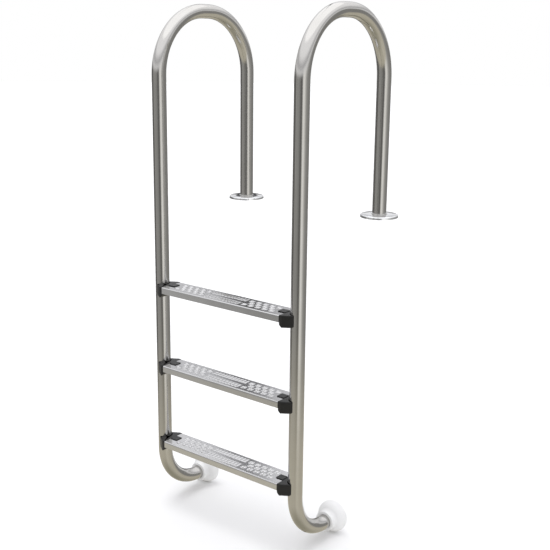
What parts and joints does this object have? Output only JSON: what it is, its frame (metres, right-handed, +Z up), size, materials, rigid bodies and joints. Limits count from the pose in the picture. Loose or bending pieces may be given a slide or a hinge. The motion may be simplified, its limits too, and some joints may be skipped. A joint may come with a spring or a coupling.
{
  "type": "pool ladder",
  "caption": "Swimming-pool ladder: arched tube handrails with deck flanges, pressed steel treads on plastic end brackets and bell-shaped wall bumpers.",
  "frame": {"origin": "on the deck, midway between the centres of the two deck legs", "axes": "+X along the treads towards the right-hand rail as a climber facing the deck sees it, +Y away from the water, +Z up; the pool legs stand at negative Y"},
  "size_m": [0.634, 0.4975, 1.5682],
  "materials": {
    "rail_steel": "satin polished stainless tube",
    "tread_steel": "pressed stainless sheet, satin, with anti-slip dimples",
    "cover_steel": "polished stainless",
    "fixing_steel": "plain stainless fasteners and plates",
    "bracket_plastic": "moulded black plastic, slight sheen",
    "bumper_plastic": "smooth moulded off-white plastic"
  },
  "bodies": {
    "root": {"left_rail": "rail_steel", "left_deck_plate": "fixing_steel", "left_deck_cover": "cover_steel", "left_wall_bumper": "bumper_plastic", "right_rail": "rail_steel", "right_deck_plate": "fixing_steel", "right_deck_cover": "cover_steel", "right_wall_bumper": "bumper_plastic", "upper_tread": "tread_steel", "upper_left_bracket": "bracket_plastic", "upper_left_tab": "bracket_plastic", "upper_left_bolt": "fixing_steel", "upper_left_washer": "fixing_steel", "upper_left_rivet_nut": "fixing_steel", "upper_right_bracket": "bracket_plastic", "upper_right_tab": "bracket_plastic", "upper_right_bolt": "fixing_steel", "upper_right_washer": "fixing_steel", "upper_right_rivet_nut": "fixing_steel", "middle_tread": "tread_steel", "middle_left_bracket": "bracket_plastic", "middle_left_tab": "bracket_plastic", "middle_left_bolt": "fixing_steel", "middle_left_washer": "fixing_steel", "middle_left_rivet_nut": "fixing_steel", "middle_right_bracket": "bracket_plastic", "middle_right_tab": "bracket_plastic", "middle_right_bolt": "fixing_steel", "middle_right_washer": "fixing_steel", "middle_right_rivet_nut": "fixing_steel", "lower_tread": "tread_steel", "lower_left_bracket": "bracket_plastic", "lower_left_tab": "bracket_plastic", "lower_left_bolt": "fixing_steel", "lower_left_washer": "fixing_steel", "lower_left_rivet_nut": "fixing_steel", "lower_right_bracket": "bracket_plastic", "lower_right_tab": "bracket_plastic", "lower_right_bolt": "fixing_steel", "lower_right_washer": "fixing_steel", "lower_right_rivet_nut": "fixing_steel"}
  },
  "joints": []
}
